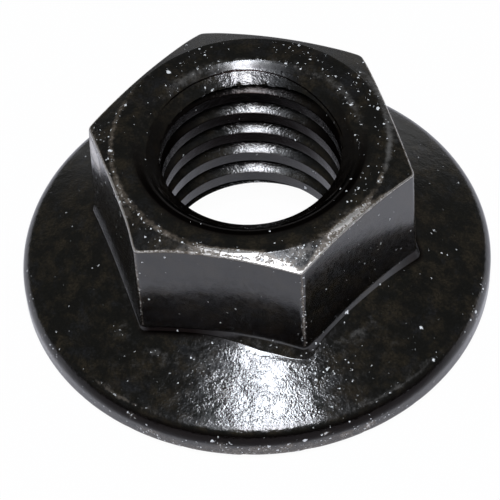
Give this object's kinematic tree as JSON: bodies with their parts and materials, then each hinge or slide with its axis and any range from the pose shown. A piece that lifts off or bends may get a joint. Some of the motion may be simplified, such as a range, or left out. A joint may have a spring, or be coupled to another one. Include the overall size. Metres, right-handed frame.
{
  "type": "serrated flange nut",
  "caption": "Hexagon nut with a wide coned flange, serrated underneath so that it resists turning back, with a through thread countersunk at both ends.",
  "frame": {"origin": "centre of the plane that the serrations stand on", "axes": "+Z along the thread, from the serrations towards the hexagon's top face; +X through one corner of the hexagon"},
  "size_m": [0.0228, 0.0228, 0.01],
  "materials": {
    "blackened_steel": "glossy black oxide, worn bright on some corners and edges"
  },
  "bodies": {
    "root": {"flange_nut": "blackened_steel"}
  },
  "joints": []
}
